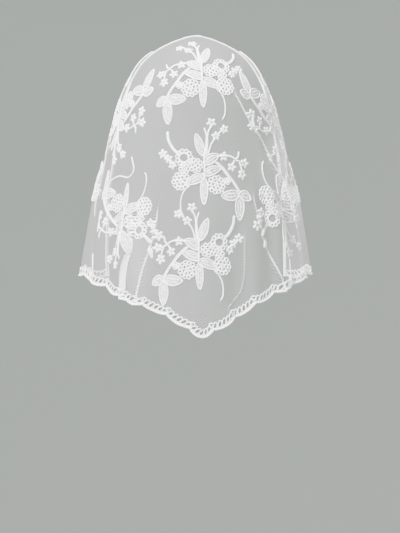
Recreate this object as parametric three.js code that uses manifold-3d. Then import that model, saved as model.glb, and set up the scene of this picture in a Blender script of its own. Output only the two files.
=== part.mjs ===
// Lace headscarf in its worn form: a sheer net veil with embroidered flower sprays and a scalloped border.
// Millimetres, +Z up. The origin is where the crown of the head touches the underside of the net.
// The pointed hem hangs at the back, towards -Y. The face opening looks towards +Y.
import * as THREE from 'three';
import Module from 'manifold-3d';

const wasm = await Module();
wasm.setup();
const { CrossSection } = wasm;

// Sizes of the cloth and of what is sewn to it
const NET_THICKNESS = 1.0;
const RELIEF_THICKNESS = 0.8;
const BORDER_GAP = 1;
const BORDER_THICKNESS = 1.3;
const BORDER_PITCH = 29.5;
const BORDER_LAP = 3.6;
const BORDER_DEPTH = 6.5;
const LOBE_RISE = 3.4;
const INNER_RISE = 1.6;
const LOBE_FULLNESS = 0.7;
const RIM_WIDTH = 2.2;
const HOLE_SLANT = 1.2;
const BINDING_GAP = 0.95;
const BINDING_THICKNESS = 1.2;
const BINDING_OVER = 3.5;
const BINDING_BEYOND = 1;
const BINDING_STEP = 15;
const END_CLEARANCE = 5.4;

// Sizes of the worn form
const DOME_RADIUS = 88;
const DOME_RUN = DOME_RADIUS * Math.PI / 2;
const FRONT_REACH = 14;
const FRONT_DRIFT = 0.175;
const FACE_ANGLE = 120;
const RIGHT_ANGLE = Math.PI / 2;
const DEGREE = Math.PI / 180;

// Sections of the worn form: run is the way down from the crown, the others are half-widths of the oval
const SECTIONS = [
  { run: 0, side: 88, back: 88, front: 88 },
  { run: 16, side: 86, back: 88.5, front: 88.3 },
  { run: 34, side: 84.8, back: 90, front: 89 },
  { run: 69, side: 85, back: 95, front: 92 },
  { run: 92, side: 84, back: 98, front: 95 },
  { run: 115, side: 85, back: 99.5, front: 97 },
  { run: 138, side: 89.5, back: 100.5, front: 98 },
  { run: 178, side: 99, back: 103, front: 101 },
  { run: 234, side: 112.5, back: 107, front: 104 },
  { run: 290, side: 121.5, back: 111, front: 107 },
  { run: 340, side: 127, back: 114, front: 109 },
  { run: 395, side: 131, back: 117, front: 110 },
];

// Lines of the folds: the angle round from the back at the top and at the hem, where the line starts on the
// way down, and how far it stands out of the oval at the hem
const FOLDS = [
  { top: -120, hem: -120, start: 100, height: 0 },
  { top: -108, hem: -109, start: 100, height: 3.5 },
  { top: -96, hem: -97, start: 100, height: -3.5 },
  { top: -84, hem: -85, start: 100, height: 3.5 },
  { top: -72, hem: -73, start: 100, height: -3.5 },
  { top: -60, hem: -63, start: 120, height: 3 },
  { top: -48, hem: -53, start: 150, height: -2.5 },
  { top: -37, hem: -43.5, start: 170, height: 3.2 },
  { top: -29, hem: -38, start: 170, height: -0.5 },
  { top: -21, hem: -32, start: 180, height: 2 },
  { top: -12, hem: -22, start: 180, height: -1.5 },
  { top: 2, hem: -6, start: 180, height: 1 },
  { top: 20, hem: 10, start: 200, height: 2.5 },
  { top: 29, hem: 22, start: 200, height: -2.5 },
  { top: 35, hem: 34, start: 150, height: 1 },
  { top: 39, hem: 43, start: 150, height: -2 },
  { top: 43, hem: 52, start: 150, height: 3.2 },
  { top: 49, hem: 60, start: 110, height: -2.5 },
  { top: 55, hem: 69, start: 100, height: 4 },
  { top: 67, hem: 79, start: 100, height: -3.5 },
  { top: 80, hem: 88, start: 100, height: 3.5 },
  { top: 95, hem: 98, start: 100, height: -3.5 },
  { top: 108, hem: 109, start: 100, height: 3.5 },
  { top: 120, hem: 120, start: 100, height: 0 },
];
const FOLD_SPREAD_START = 90;
const FOLD_SPREAD_END = 300;

// The hem, through the notches of the border: angle round from the back, and height below the crown
const HEM = [
  { angle: -125, drop: 271 },
  { angle: -105, drop: 267 },
  { angle: -90, drop: 265 },
  { angle: -72, drop: 271 },
  { angle: -54, drop: 280 },
  { angle: -37, drop: 295 },
  { angle: -21, drop: 306 },
  { angle: -7, drop: 321 },
  { angle: 3, drop: 333 },
  { angle: 11, drop: 326 },
  { angle: 23.5, drop: 311 },
  { angle: 34.5, drop: 297 },
  { angle: 52, drop: 282 },
  { angle: 71, drop: 270 },
  { angle: 90, drop: 264 },
  { angle: 105, drop: 266 },
  { angle: 125, drop: 270 },
];

// Rows of the net: fixed runs over the dome, then shares of the way from the last of them to the hem
const DOME_ROWS = [8, 14, 16, 24, 42, 68, 95];
const DRAPE_ROWS = [0.12, 0.25, 0.4, 0.58, 0.78, 1];
const WIDE_STEP = 8;

// Parts of one embroidered spray, from its middle: across to the right and up. Each belongs to one branch
const LEAVES = [
  { branch: 'core', x: -2, y: 10, tipX: -9, tipY: 37, width: 8.5 },
  { branch: 'core', x: 0, y: 1, tipX: 18, tipY: 19, width: 9.5 },
  { branch: 'core', x: 0, y: 1, tipX: 19, tipY: -8, width: 9.5 },
  { branch: 'core', x: 1, y: -5, tipX: -22, tipY: -19, width: 10 },
  { branch: 'core', x: 0, y: -7, tipX: -2, tipY: -41, width: 8 },
  { branch: 'trio', x: 41, y: -28, tipX: 17, tipY: -31, width: 11 },
  { branch: 'trio', x: 38, y: -24, tipX: 53, tipY: -36, width: 10.5 },
  { branch: 'trio', x: 39, y: -26, tipX: 38, tipY: -54, width: 11 },
];
const WHEELS = [
  { branch: 'core', x: -12, y: 2, radius: 9 },
  { branch: 'core', x: -25, y: -4, radius: 9 },
  { branch: 'core', x: -29, y: -17, radius: 9 },
  { branch: 'core', x: 12, y: -17.5, radius: 10 },
];
const STARS = [
  { branch: 'top', x: 7, y: 49 },
  { branch: 'top', x: 21, y: 42 },
  { branch: 'left', x: -27, y: 18 },
  { branch: 'left', x: -48, y: 16 },
  { branch: 'left', x: -39, y: 7 },
  { branch: 'right', x: 22, y: 11 },
  { branch: 'right', x: 45, y: 7 },
];
const STEMS = [
  { branch: 'core', points: [[-3, 16], [0, 0], [0, -12]] },
  { branch: 'top', points: [[-1, 8], [3, 26], [7, 49]] },
  { branch: 'top', points: [[3, 26], [21, 42]] },
  { branch: 'left', points: [[-14, 4], [-27, 18]] },
  { branch: 'left', points: [[-28, -6], [-39, 7], [-48, 16]] },
  { branch: 'right', points: [[13, 13], [28, 12], [45, 7]] },
  { branch: 'trio', points: [[5, 5], [21, 0], [30, -12], [39, -27]] },
];
const STEM_WIDTH = 2;
const STAR_RADIUS = 4.2;
const STAR_CORNERS = 5;
const WHEEL_CORNERS = 6;
const LONGEST_EDGE = 13;

// Where each spray lies: angle round from the back, run down from the crown, turn in degrees, 1 or -1 when
// mirrored, how far its flat back stands off the curved net, and the branches that it has
const WHOLE = ['core', 'top', 'left', 'right', 'trio'];
const SIDE = ['core', 'top'];
const SPRAYS = [
  { name: 'spray_back_upper', angle: 4.5, run: 98, turn: 0, mirror: -1, gap: 0.6, branches: WHOLE },
  { name: 'spray_back_middle', angle: 5, run: 200, turn: 0, mirror: 1, gap: 0.62, branches: WHOLE },
  { name: 'spray_back_lower', angle: 2, run: 293, turn: 0, mirror: -1, gap: 0.65, branches: WHOLE },
  { name: 'spray_left_upper', angle: -65, run: 143, turn: 180, mirror: -1, gap: 0.6, branches: WHOLE },
  { name: 'spray_left_lower', angle: -44, run: 257, turn: 180, mirror: 1, gap: 0.98, branches: WHOLE },
  { name: 'spray_right_upper', angle: 66, run: 146, turn: 180, mirror: 1, gap: 0.95, branches: WHOLE },
  { name: 'spray_right_lower', angle: 58, run: 244, turn: 180, mirror: -1, gap: 1.3, branches: WHOLE },
  { name: 'spray_left_side', angle: -94.5, run: 212, turn: 0, mirror: -1, gap: 0.8, branches: SIDE },
  { name: 'spray_right_side', angle: 100, run: 208, turn: 10, mirror: 1, gap: 0.85, branches: SIDE },
  { name: 'sprig_left_front', angle: -112, run: 58, turn: 0, mirror: 1, gap: 0.5, branches: ['trio'] },
  { name: 'sprig_right_front', angle: 112, run: 58, turn: 0, mirror: -1, gap: 0.5, branches: ['trio'] },
];

function mix(a, b, share) {
  return a + (b - a) * share;
}

function ease(value) {
  const t = Math.min(Math.max(value, 0), 1);
  return t * t * (3 - 2 * t);
}

// Smooth curve through one column of a table, against another of its columns
function through(rows, key, column, x) {
  const last = rows.length - 1;
  const at = Math.min(Math.max(x, rows[0][key]), rows[last][key]);
  let i = 0;
  while (i < last - 1 && rows[i + 1][key] < at) {
    i += 1;
  }
  const slope = (k) => {
    const a = rows[Math.max(k - 1, 0)];
    const b = rows[Math.min(k + 1, last)];
    return (b[column] - a[column]) / (b[key] - a[key]);
  };
  const span = rows[i + 1][key] - rows[i][key];
  const t = (at - rows[i][key]) / span;
  const flat = 1 - t;
  return rows[i][column] * flat * flat * (1 + 2 * t) + rows[i + 1][column] * t * t * (3 - 2 * t)
    + span * t * flat * (slope(i) * flat - slope(i + 1) * t);
}

// Distance of the oval from the middle line, with no folds
function ovalReach(angle, run) {
  const depth = through(SECTIONS, 'run', Math.cos(angle) > 0 ? 'back' : 'front', run);
  const side = through(SECTIONS, 'run', 'side', run);
  return 1 / Math.hypot(Math.sin(angle) / side, Math.cos(angle) / depth);
}

// Angle of the front edge round from the back: half a turn above the place where the edge crosses the crown
function frontAngle(run) {
  const spread = (at) => ovalReach(FACE_ANGLE * DEGREE, at) * Math.sin(Math.min(at / DOME_RADIUS, RIGHT_ANGLE));
  const reach = spread(FRONT_REACH) + FRONT_DRIFT * (run - FRONT_REACH);
  return run > FRONT_REACH ? Math.PI - Math.acos(Math.min(reach / spread(run), 1)) : Math.PI;
}

// Angle of a fold line at a run, as if the front edges were at plus and minus the face angle
function foldLine(fold, run) {
  return mix(fold.top, fold.hem, ease((run - FOLD_SPREAD_START) / (FOLD_SPREAD_END - FOLD_SPREAD_START)));
}

function foldHeight(fold, run) {
  return fold.height * ease((run - fold.start) / (FOLD_SPREAD_END - fold.start));
}

// How far the folds stand out of the oval: an even wave from each fold line to the next
function foldReach(angle, run) {
  const place = angle / frontAngle(run) * FACE_ANGLE;
  const last = FOLDS.length - 1;
  let i = 0;
  while (i < last - 1 && foldLine(FOLDS[i + 1], run) < place) {
    i += 1;
  }
  const from = foldLine(FOLDS[i], run);
  const share = Math.min(Math.max((place - from) / (foldLine(FOLDS[i + 1], run) - from), 0), 1);
  const wave = (1 - Math.cos(Math.PI * share)) / 2;
  return mix(foldHeight(FOLDS[i], run), foldHeight(FOLDS[i + 1], run), wave);
}

// Underside of the net
function underside(angle, run) {
  const reach = ovalReach(angle, run) + foldReach(angle, run);
  const tilt = Math.min(run / DOME_RADIUS, RIGHT_ANGLE);
  const fall = Math.max(run - DOME_RUN, 0);
  return new THREE.Vector3(
    reach * Math.sin(tilt) * Math.sin(angle),
    -reach * Math.sin(tilt) * Math.cos(angle),
    reach * Math.cos(tilt) - DOME_RADIUS - fall,
  );
}

function outward(angle, run) {
  const step = 0.5;
  if (run < step) {
    return new THREE.Vector3(0, 0, 1);
  }
  const turn = step / (DOME_RADIUS * Math.sin(Math.min(run / DOME_RADIUS, RIGHT_ANGLE)));
  const across = underside(angle + turn, run).sub(underside(angle - turn, run));
  const down = underside(angle, run + step).sub(underside(angle, run - step));
  return down.cross(across).normalize();
}

// A point of the cloth, lifted off the underside of the net
function onCloth(angle, run, lift) {
  return underside(angle, run).addScaledVector(outward(angle, run), lift);
}

// The angle and run of the cloth nearest to a point
function locate(point) {
  const spread = Math.hypot(point.x, point.y);
  const above = point.z + DOME_RADIUS;
  const run = above > 0 ? DOME_RADIUS * Math.atan2(spread, above) : DOME_RUN - above;
  return { angle: Math.atan2(point.x, -point.y), run };
}

// Walks over the cloth from a place, a way across and a way up, as flat cloth lies on it
function walk(start, across, up) {
  const length = Math.hypot(across, up);
  const steps = Math.max(Math.ceil(length / 6), 1);
  const normal = outward(start.angle, start.run);
  const east = new THREE.Vector3(Math.cos(start.angle), Math.sin(start.angle), 0);
  east.addScaledVector(normal, -east.dot(normal)).normalize();
  const north = normal.clone().cross(east);
  const heading = east.multiplyScalar(across).addScaledVector(north, up).normalize();
  const point = underside(start.angle, start.run);
  let place = start;
  for (let i = 0; i < steps && length > 0; i += 1) {
    place = locate(point.addScaledVector(heading, length / steps));
    point.copy(underside(place.angle, place.run));
    const facing = outward(place.angle, place.run);
    heading.addScaledVector(facing, -heading.dot(facing)).normalize();
  }
  return place;
}

// A path on the cloth measured by its length, for what is sewn along it
function measurePath(places) {
  const points = places.map((place) => underside(place.angle, place.run));
  const lengths = [0];
  for (let i = 1; i < points.length; i += 1) {
    lengths.push(lengths[i - 1] + points[i].distanceTo(points[i - 1]));
  }
  return { places, points, lengths, total: lengths[lengths.length - 1] };
}

// A point beside a path: the way along it, the way out to its right-hand side and the lift
function besidePath(path, along, out, lift) {
  const last = path.lengths.length - 1;
  let i = 0;
  while (i < last - 1 && path.lengths[i + 1] < along) {
    i += 1;
  }
  const share = (along - path.lengths[i]) / (path.lengths[i + 1] - path.lengths[i]);
  const point = path.points[i].clone().lerp(path.points[i + 1], share);
  const before = path.points[Math.max(i - 2, 0)];
  const after = path.points[Math.min(i + 3, last)];
  const forward = after.clone().sub(before).normalize();
  const place = locate(point);
  const side = forward.cross(outward(place.angle, place.run)).normalize();
  const reached = locate(point.addScaledVector(side, out));
  return onCloth(reached.angle, reached.run, lift);
}

// Run of the hem at an angle: the line through the notches of the border
function hemRun(angle) {
  return DOME_RUN + through(HEM, 'angle', 'drop', angle / DEGREE) - DOME_RADIUS;
}

// Angles of the net's columns at a run: the fold lines, with even steps between those that lie far apart
function columnAngles(run) {
  const front = frontAngle(run);
  const angles = [];
  FOLDS.forEach((fold, i) => {
    if (i > 0) {
      const before = FOLDS[i - 1];
      const steps = Math.max(Math.round((fold.hem - before.hem) / WIDE_STEP) + 1, 2);
      for (let k = 0; k < steps; k += 1) {
        angles.push(mix(foldLine(before, run), foldLine(fold, run), k / steps) * front / FACE_ANGLE);
      }
    }
  });
  angles.push(front);
  return angles;
}

// Places of the net, row by row from the crown to the hem
function netRows() {
  const rows = DOME_ROWS.map((run) => columnAngles(run).map((angle) => ({ angle, run })));
  const count = rows[0].length;
  const start = DOME_ROWS[DOME_ROWS.length - 1];
  DRAPE_ROWS.forEach((share) => {
    const row = [];
    for (let i = 0; i < count; i += 1) {
      let run = start;
      let angle = 0;
      for (let k = 0; k < 4; k += 1) {
        angle = columnAngles(run)[i];
        run = mix(start, hemRun(angle) - BORDER_LAP, share);
      }
      row.push({ angle, run });
    }
    rows.push(row);
  });
  return rows;
}

function addTriangle(soup, a, b, c) {
  soup.push(a.x, a.y, a.z, b.x, b.y, b.z, c.x, c.y, c.z);
}

function addQuad(soup, a, b, c, d) {
  addTriangle(soup, a, b, c);
  addTriangle(soup, a, c, d);
}

function makeMesh(name, soup, colour, roughness) {
  const geometry = new THREE.BufferGeometry();
  geometry.setAttribute('position', new THREE.Float32BufferAttribute(soup, 3));
  geometry.computeVertexNormals();
  const material = new THREE.MeshStandardMaterial({ color: colour, roughness, metalness: 0 });
  const mesh = new THREE.Mesh(geometry, material);
  mesh.name = name;
  return mesh;
}

// The net: an outer and an inner face joined along the hem and the front edge
function makeNet(rows) {
  const soup = [];
  const faces = [0, NET_THICKNESS].map((lift) => ({
    crown: onCloth(0, 0, lift),
    rows: rows.map((row) => row.map((place) => onCloth(place.angle, place.run, lift))),
  }));
  const [inner, outer] = faces;
  const last = rows.length - 1;
  const width = rows[0].length - 1;
  for (let i = 0; i < width; i += 1) {
    addTriangle(soup, outer.crown, outer.rows[0][i], outer.rows[0][i + 1]);
    addTriangle(soup, inner.crown, inner.rows[0][i + 1], inner.rows[0][i]);
    for (let r = 0; r < last; r += 1) {
      const [a, b] = [outer.rows[r], outer.rows[r + 1]];
      const [c, d] = [inner.rows[r], inner.rows[r + 1]];
      addQuad(soup, a[i], b[i], b[i + 1], a[i + 1]);
      addQuad(soup, c[i], c[i + 1], d[i + 1], d[i]);
    }
    addQuad(soup, outer.rows[last][i], inner.rows[last][i], inner.rows[last][i + 1], outer.rows[last][i + 1]);
  }
  const firstOpen = DOME_ROWS.indexOf(FRONT_REACH);
  for (let r = firstOpen; r < last; r += 1) {
    const [a, b, c, d] = [outer.rows[r], outer.rows[r + 1], inner.rows[r], inner.rows[r + 1]];
    addQuad(soup, a[0], c[0], d[0], b[0]);
    addQuad(soup, a[width], b[width], d[width], c[width]);
  }
  return makeMesh('net_panel', soup, '#e9e6e6', 0.9);
}

// Columns of the border along the hem: where each stands in its scallop, and whether a hole follows it
const SCALLOP_COLUMNS = [
  { share: 0, hole: false },
  { share: 0.14, hole: true },
  { share: 0.3, hole: false },
  { share: 0.42, hole: true },
  { share: 0.58, hole: false },
  { share: 0.7, hole: true },
  { share: 0.86, hole: false },
];
const TIP_ANGLE = 3;
const HEM_STEP = 0.5;

function hemPath() {
  const places = [];
  for (let degrees = -FACE_ANGLE - 6; degrees <= FACE_ANGLE + 6; degrees += HEM_STEP) {
    const angle = degrees * DEGREE;
    const run = hemRun(angle);
    if (Math.abs(angle) <= frontAngle(run)) {
      places.push({ angle, run });
    }
  }
  return { ...measurePath(places), tip: places.findIndex((place) => place.angle >= TIP_ANGLE * DEGREE) };
}

// Lengths along the hem at which the scallops begin and end, with one scallop round the tip
function notches(path) {
  const tip = path.lengths[path.tip];
  const marks = [];
  [-1, 1].forEach((side) => {
    const reach = (side < 0 ? tip : path.total - tip) - END_CLEARANCE;
    const count = Math.round(reach / BORDER_PITCH - 0.5);
    const pitch = reach / (count + 0.5);
    for (let k = 0; k <= count; k += 1) {
      marks.push(tip + side * (k + 0.5) * pitch);
    }
  });
  return marks.sort((a, b) => a - b);
}

// The border: a lace strip with a scalloped outer edge, cut through by slanted holes
function makeBorder() {
  const path = hemPath();
  const marks = notches(path);
  const columns = [];
  marks.slice(1).forEach((end, i) => {
    SCALLOP_COLUMNS.forEach(({ share, hole }) => columns.push({ start: marks[i], end, share, hole }));
  });
  columns.push({ start: marks[0], end: marks[marks.length - 1], share: 1, hole: false });
  const lifts = [NET_THICKNESS + BORDER_GAP, NET_THICKNESS + BORDER_GAP + BORDER_THICKNESS];
  const sheets = lifts.map((lift) => columns.map(({ start, end, share }) => {
    const along = mix(start, end, share);
    const bulge = Math.sin(Math.PI * share);
    const inner = INNER_RISE * bulge - BORDER_DEPTH;
    const outer = LOBE_RISE * Math.max(bulge, 0) ** LOBE_FULLNESS;
    const slant = bulge > 0.1 ? HOLE_SLANT : 0;
    return [
      besidePath(path, along, inner, lift),
      besidePath(path, along - slant / 2, inner + RIM_WIDTH, lift),
      besidePath(path, along + slant / 2, outer - RIM_WIDTH, lift),
      besidePath(path, along, outer, lift),
    ];
  }));
  const [low, high] = sheets;
  const soup = [];
  const last = columns.length - 1;
  for (let i = 0; i < last; i += 1) {
    const [a, b, c, d] = [high[i], high[i + 1], low[i], low[i + 1]];
    [0, 1, 2].forEach((band) => {
      if (band !== 1 || !columns[i].hole) {
        addQuad(soup, a[band], a[band + 1], b[band + 1], b[band]);
        addQuad(soup, c[band], d[band], d[band + 1], c[band + 1]);
      }
    });
    addQuad(soup, a[0], b[0], d[0], c[0]);
    addQuad(soup, a[3], c[3], d[3], b[3]);
    if (columns[i].hole) {
      addQuad(soup, a[1], c[1], d[1], b[1]);
      addQuad(soup, a[2], b[2], d[2], c[2]);
      addQuad(soup, a[1], a[2], c[2], c[1]);
      addQuad(soup, b[1], d[1], d[2], b[2]);
    }
  }
  [0, 1, 2].forEach((band) => {
    addQuad(soup, high[0][band], low[0][band], low[0][band + 1], high[0][band + 1]);
    addQuad(soup, high[last][band], high[last][band + 1], low[last][band + 1], low[last][band]);
  });
  return makeMesh('scalloped_border', soup, '#f6f4f4', 0.8);
}

// Places along the front edge, from the left corner over the head to the right corner
function frontPath() {
  const corner = FACE_ANGLE * DEGREE;
  const places = [];
  for (let run = hemRun(corner); run > FRONT_REACH; run -= Math.max((run - FRONT_REACH) / 14, 0.05)) {
    places.push({ angle: -frontAngle(run), run });
  }
  const right = places.slice().reverse().map(({ angle, run }) => ({ angle: -angle, run }));
  return measurePath([...places, { angle: Math.PI, run: FRONT_REACH }, ...right]);
}

// The binding: a plain narrow tape along the front edge
function makeBinding() {
  const path = frontPath();
  const count = 2 * Math.round(path.total / BINDING_STEP / 2);
  const low = NET_THICKNESS + BINDING_GAP;
  const high = low + BINDING_THICKNESS;
  const corners = [
    [-BINDING_BEYOND, low],
    [BINDING_OVER, low],
    [BINDING_OVER, high],
    [-BINDING_BEYOND, high],
  ];
  const rings = [];
  for (let i = 0; i <= count; i += 1) {
    rings.push(corners.map(([out, lift]) => besidePath(path, path.total * i / count, out, lift)));
  }
  const soup = [];
  for (let i = 0; i < count; i += 1) {
    for (let k = 0; k < 4; k += 1) {
      const next = (k + 1) % 4;
      addQuad(soup, rings[i][k], rings[i + 1][k], rings[i + 1][next], rings[i][next]);
    }
  }
  addQuad(soup, ...rings[0]);
  addQuad(soup, ...rings[count].slice().reverse());
  return makeMesh('front_binding', soup, '#f3f1f1', 0.85);
}

// Flat outlines of the parts of a spray
function leafOutline({ x, y, tipX, tipY, width }) {
  const length = Math.hypot(tipX - x, tipY - y);
  const [alongX, alongY] = [(tipX - x) / length, (tipY - y) / length];
  const half = width / 2;
  const corners = [[0, 0], [0.3, -half], [0.68, -half * 0.85], [1, 0], [0.68, half * 0.85], [0.3, half]];
  return corners.map(([share, side]) => [
    x + alongX * length * share - alongY * side,
    y + alongY * length * share + alongX * side,
  ]);
}

function roundOutline(x, y, radius, corners) {
  const outline = [];
  for (let k = 0; k < corners; k += 1) {
    const angle = k / corners * 2 * Math.PI;
    outline.push([x + radius * Math.cos(angle), y + radius * Math.sin(angle)]);
  }
  return outline;
}

function stemOutlines({ points }) {
  return points.slice(1).map(([x, y], i) => {
    const [fromX, fromY] = points[i];
    const length = Math.hypot(x - fromX, y - fromY);
    const [goX, goY] = [(x - fromX) / length * STEM_WIDTH / 2, (y - fromY) / length * STEM_WIDTH / 2];
    return [
      [fromX - goX + goY, fromY - goY - goX],
      [x + goX + goY, y + goY - goX],
      [x + goX - goY, y + goY + goX],
      [fromX - goX - goY, fromY - goY + goX],
    ];
  });
}

// One spray: its parts joined flat, then laid over the outside of the net
function makeSpray({ name, angle, run, turn, mirror, gap, branches }) {
  const chosen = (part) => branches.includes(part.branch);
  const outlines = [
    ...LEAVES.filter(chosen).map(leafOutline),
    ...WHEELS.filter(chosen).map(({ x, y, radius }) => roundOutline(x, y, radius, WHEEL_CORNERS)),
    ...STARS.filter(chosen).map(({ x, y }) => roundOutline(x, y, STAR_RADIUS, STAR_CORNERS)),
    ...STEMS.filter(chosen).flatMap(stemOutlines),
  ];
  const flat = new CrossSection(outlines, 'NonZero').simplify(0.25);
  const faced = mirror < 0 ? flat.mirror([1, 0]) : flat;
  const solid = faced.rotate(turn).extrude(RELIEF_THICKNESS).refineToLength(LONGEST_EDGE);
  const { vertProperties, triVerts, numProp } = solid.getMesh();
  const start = { angle: angle * DEGREE, run };
  const point = (index) => {
    const [x, y, height] = vertProperties.slice(index * numProp, index * numProp + 3);
    const place = walk(start, x, y);
    return onCloth(place.angle, place.run, NET_THICKNESS + gap + height);
  };
  const soup = [];
  for (let i = 0; i < triVerts.length; i += 3) {
    addTriangle(soup, ...[0, 1, 2].map((k) => point(triVerts[i + k])));
  }
  return makeMesh(name, soup, '#fbf9f9', 0.75);
}

const rows = netRows();
const group = new THREE.Group();
group.name = 'lace_headscarf';
group.add(makeNet(rows), makeBorder(), makeBinding());
SPRAYS.forEach((spray) => group.add(makeSpray(spray)));

export default group;
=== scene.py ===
# %% [markdown]
# # A lace headscarf in its worn form
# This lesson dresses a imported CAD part. The CAD part holds the plain solids: a domed net sheet, a cut-
# through border, a front tape and flat embroidered sprays. Blender adds what the eye needs: a sheer net,
# corded flowers and a looped lace edge, all laid on the same worn form, so nothing has to be fitted by
# hand.

import bpy
import numpy as np
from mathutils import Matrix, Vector


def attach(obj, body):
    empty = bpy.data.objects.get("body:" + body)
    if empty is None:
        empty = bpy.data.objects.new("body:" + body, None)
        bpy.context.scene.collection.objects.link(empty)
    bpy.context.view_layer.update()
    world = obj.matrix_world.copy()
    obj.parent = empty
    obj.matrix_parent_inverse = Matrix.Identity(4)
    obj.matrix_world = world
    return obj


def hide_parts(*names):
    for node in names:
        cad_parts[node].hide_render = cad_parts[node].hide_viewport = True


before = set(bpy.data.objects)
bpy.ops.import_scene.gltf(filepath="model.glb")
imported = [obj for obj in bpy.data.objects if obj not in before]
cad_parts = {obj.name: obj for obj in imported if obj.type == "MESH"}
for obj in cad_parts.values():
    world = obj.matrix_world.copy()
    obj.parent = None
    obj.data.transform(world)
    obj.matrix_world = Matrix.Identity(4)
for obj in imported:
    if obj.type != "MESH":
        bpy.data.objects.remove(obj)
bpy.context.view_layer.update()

# %% [markdown]
# ## Camera
# The photograph is taken level from behind with a long lens, so near and far parts are drawn at almost one
# scale. One pixel is 1.12 mm at the scarf. The camera could also be shifted, but aiming it at the middle of
# the picture keeps every other view simple.

# %% Camera
MM = 0.001
PIXEL = 1.12 * MM
PICTURE_HEIGHT = 533
SENSOR = 36.0
DISTANCE = 5.0
PICTURE_MIDDLE = (4.5 * MM, 0.0, -258.0 * MM)


def aim(thing, place, target):
    """Puts a camera or lamp at a place and turns it to a target."""
    thing.location = place
    thing.rotation_euler = (Vector(target) - Vector(place)).to_track_quat("-Z", "Y").to_euler()


camera_data = bpy.data.cameras.new("camera")
camera = bpy.data.objects.new("camera", camera_data)
bpy.context.scene.collection.objects.link(camera)
bpy.context.scene.camera = camera
aim(camera, (PICTURE_MIDDLE[0], -DISTANCE, PICTURE_MIDDLE[2]), PICTURE_MIDDLE)
camera_data.sensor_width = SENSOR
camera_data.lens = SENSOR * DISTANCE / (PICTURE_HEIGHT * PIXEL)
print("lens:", round(camera_data.lens, 1), "mm")

# %% [markdown]
# ## The worn form
# A real veil takes its form from what it is worn over and from its own folds. A cloth simulation could find
# one, but it would not find the folds of the photograph. Here the form is a rule: an oval for each height,
# and a table of fold lines that run down from the crown. Places on the cloth are an angle round from the
# back and a run down from the crown, both as arrays, so that whole pieces are laid on it at once.

# %% Tables of the worn form, in millimetres and degrees
# the dome, and the run down it to where the cloth begins to hang
DOME_RADIUS = 88.0
DOME_RUN = DOME_RADIUS * np.pi / 2
# how far before the crown the front edge crosses over, how it moves forward on the way down, and the
# angle near its corners, which stands for the edge in the table of folds
FRONT_REACH = 14.0
FRONT_DRIFT = 0.175
CORNER_ANGLE = 120.0
# the runs over which the fold lines spread from their angle at the top to their angle at the hem
SPREAD_START, SPREAD_END = 90.0, 300.0

# run down from the crown, then half-width at the side, depth at the back, depth at the front
SECTIONS = np.array([
    (0, 88, 88, 88), (16, 86, 88.5, 88.3), (34, 84.8, 90, 89), (69, 85, 95, 92),
    (92, 84, 98, 95), (115, 85, 99.5, 97), (138, 89.5, 100.5, 98), (178, 99, 103, 101),
    (234, 112.5, 107, 104), (290, 121.5, 111, 107), (340, 127, 114, 109), (395, 131, 117, 110),
])

# angle at the top, angle at the hem, run where the fold starts and height at the hem
FOLDS = np.array([
    (-120, -120, 100, 0), (-108, -109, 100, 3.5), (-96, -97, 100, -3.5), (-84, -85, 100, 3.5),
    (-72, -73, 100, -3.5), (-60, -63, 120, 3), (-48, -53, 150, -2.5), (-37, -43.5, 170, 3.2),
    (-29, -38, 170, -0.5), (-21, -32, 180, 2), (-12, -22, 180, -1.5), (2, -6, 180, 1), (20, 10, 200, 2.5),
    (29, 22, 200, -2.5), (35, 34, 150, 1), (39, 43, 150, -2), (43, 52, 150, 3.2), (49, 60, 110, -2.5),
    (55, 69, 100, 4), (67, 79, 100, -3.5), (80, 88, 100, 3.5), (95, 98, 100, -3.5), (108, 109, 100, 3.5),
    (120, 120, 100, 0),
])

# Creases where the net laps over itself: its way down as run and angle, then how far it is drawn sideways,
# the half-width of what is drawn, the height of the roll, how closely the net is bunched there and over what
# half-width, and the runs over which it begins and ends
CREASES = [
    {"way": [(240, -39.5), (267, -39), (290, -38.4), (298, -40.4), (312, -41.8), (329, -42), (350, -42)],
     "pull": 5.7, "half": 5.6, "roll": 2.4, "bunch": 1.9, "core": 1.7, "from": 236, "full": 258, "fade": 420},
    {"way": [(240, -22), (261, -23.5), (289, -26.5), (317, -31), (350, -34)],
     "pull": 3.3, "half": 4.5, "roll": 1.0, "bunch": 0.9, "core": 0.7, "from": 225, "full": 260, "fade": 420},
    {"way": [(120, 27), (150, 38.5), (174, 49), (192, 54), (215, 62), (300, 70)],
     "pull": 6.8, "half": 8, "roll": 2.8, "bunch": 1.8, "core": 2.1, "from": 110, "full": 145, "fade": 240},
    {"way": [(235, 35.5), (262, 39), (290, 44), (320, 50.5), (345, 54)],
     "pull": 4.6, "half": 6, "roll": 1.6, "bunch": 1.2, "core": 1.1, "from": 222, "full": 255, "fade": 420},
    {"way": [(260, 29), (284, 28.5), (318, 27.5), (337, 25), (352, 18)],
     "pull": 1.4, "half": 5, "roll": 1.1, "bunch": 0.15, "core": 1.5, "from": 255, "full": 290, "fade": 345},
]

# Places where loose net lies in several layers: angle, run, half-width in degrees, half-length, and how much
LAYERED = [
    (76, 190, 24, 52, 0.4),
    (-33, 300, 7, 50, 0.12),
]

# angle round from the back, then the height below the crown of the line through the border's notches
HEM = np.array([
    (-125, 271), (-105, 267), (-90, 265), (-72, 271), (-54, 280), (-37, 295), (-21, 306), (-7, 321),
    (3, 333), (11, 326), (23.5, 311), (34.5, 297), (52, 282), (71, 270), (90, 264), (105, 266), (125, 270),
])


print("tables:", len(SECTIONS), "sections,", len(FOLDS), "fold lines and", len(CREASES), "creases")

# %% Smooth curves through the tables


def ease(value):
    """A soft step from 0 to 1."""
    t = np.clip(value, 0, 1)
    return t * t * (3 - 2 * t)


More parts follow.
